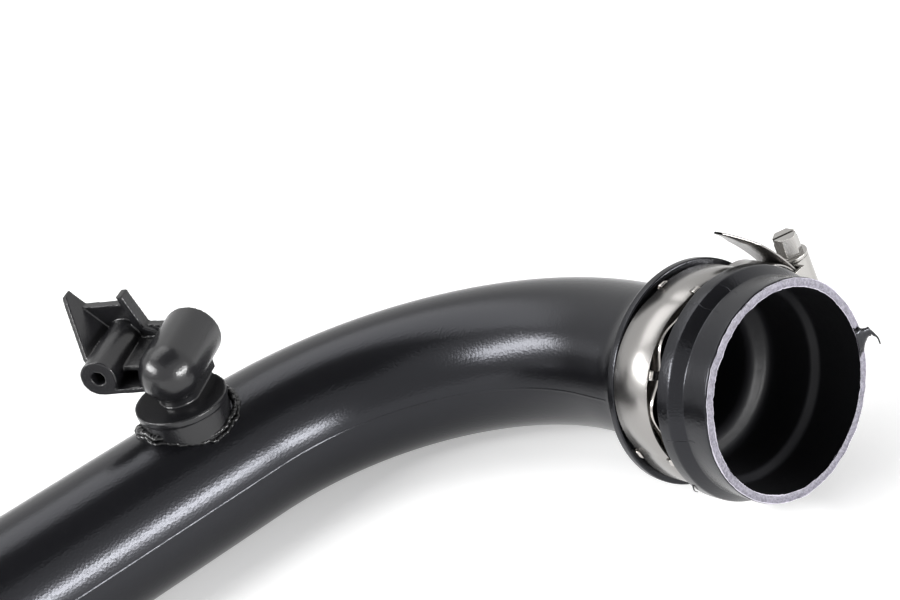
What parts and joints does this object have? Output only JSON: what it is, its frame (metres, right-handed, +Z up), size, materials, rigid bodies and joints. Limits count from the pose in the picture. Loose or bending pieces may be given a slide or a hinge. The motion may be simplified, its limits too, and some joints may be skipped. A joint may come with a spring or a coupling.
{
  "type": "charge air hose",
  "caption": "Black moulded charge air duct with a right-angle bend, a welded sensor port and a worm clamp on its socket end.",
  "frame": {"origin": "middle of the part's bounding box, on the floor that it lies on", "axes": "+X along the straight run towards the bend, -Y out of the socket end, +Z up; the socket end looks up by about five degrees because the collar rests on the floor"},
  "size_m": [0.3614, 0.2344, 0.1],
  "materials": {
    "duct_plastic": "satin black with a fine moulded grain",
    "port_plastic": "satin black, smoother than the duct",
    "band_steel": "rolled stainless strip",
    "spring_steel": "bright stainless spring strip",
    "housing_steel": "pressed stainless sheet",
    "screw_steel": "bright plated steel"
  },
  "bodies": {
    "duct": {"hose_body": "duct_plastic", "sensor_port": "port_plastic", "clamp_band": "band_steel", "clamp_liner": "spring_steel", "clamp_housing": "housing_steel"},
    "screw": {"clamp_screw": "screw_steel"}
  },
  "joints": [
    {"name": "screw_turn", "type": "hinge", "parent": "duct", "child": "screw", "pos_m": [0.17331, -0.07897, 0.06331], "axis": [-0.1045, 0.0889, 0.9905], "continuous": true}
  ]
}
